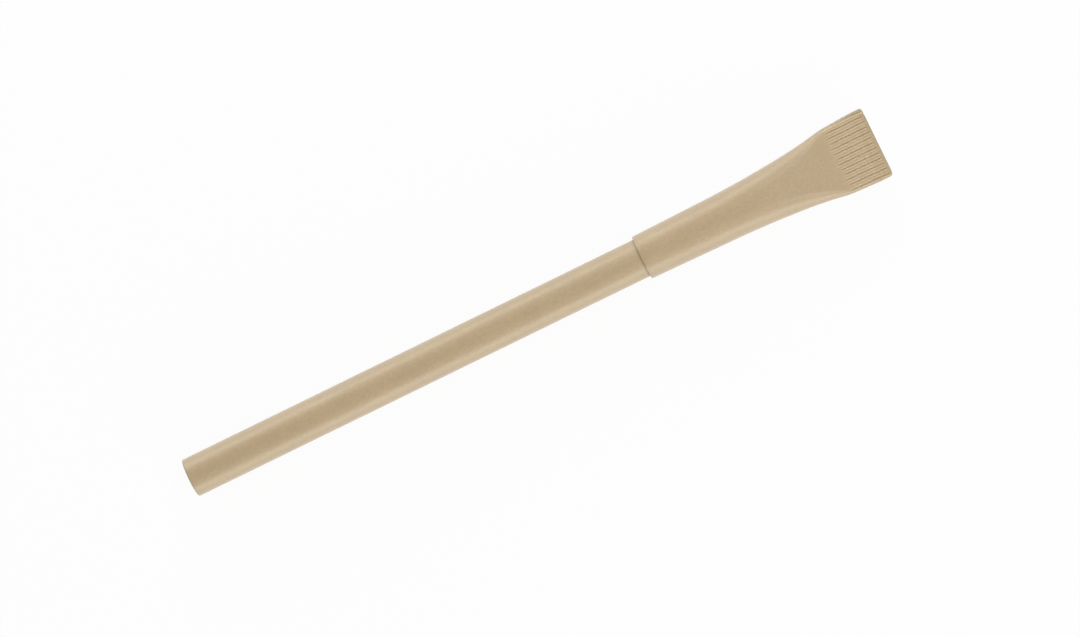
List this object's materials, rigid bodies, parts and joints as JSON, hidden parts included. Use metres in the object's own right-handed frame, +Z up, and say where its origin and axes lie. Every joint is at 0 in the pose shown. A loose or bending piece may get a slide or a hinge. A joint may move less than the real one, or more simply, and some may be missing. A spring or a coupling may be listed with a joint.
{
  "type": "paper ballpoint pen",
  "caption": "Capped stick ballpoint pen rolled from brown kraft board; the push-on cap is a board sleeve flattened and crimped shut into a ribbed fan.",
  "frame": {"origin": "on the table under the middle of the pen's length, the axis of the barrel level above it", "axes": "+X along the pen to the crimped end of the cap, +Z up out of the flat face of the crimp, Y across the crimp"},
  "size_m": [0.1524, 0.0148, 0.0092],
  "materials": {
    "greyboard": "bare",
    "kraft_paper": "calendered kraft, faint fibres",
    "kraft_board": "calendered kraft, faint fibres",
    "plug_plastic": "satin",
    "nose_plastic": "satin",
    "tube_plastic": "satin",
    "ink": "gloss",
    "holder_plastic": "satin",
    "nickel_silver": "satin",
    "carbide": "polished"
  },
  "bodies": {
    "barrel": {"barrel_core_tube": "greyboard", "barrel_facing": "kraft_paper", "end_plug": "plug_plastic", "nose_cone": "nose_plastic", "refill_tube": "tube_plastic", "ink_column": "ink", "tip_holder": "holder_plastic", "point_body": "nickel_silver"},
    "cap": {"cap_sleeve": "kraft_board"},
    "ball": {"point_ball": "carbide"}
  },
  "joints": [
    {"name": "cap_slide", "type": "slide", "parent": "barrel", "child": "cap", "axis": [1, 0, 0], "range_m": [0, 0.04]},
    {"name": "ball_roll", "type": "hinge", "parent": "barrel", "child": "ball", "pos_m": [0.05615, 0, 0.0046], "axis": [0, 1, 0], "continuous": true}
  ]
}
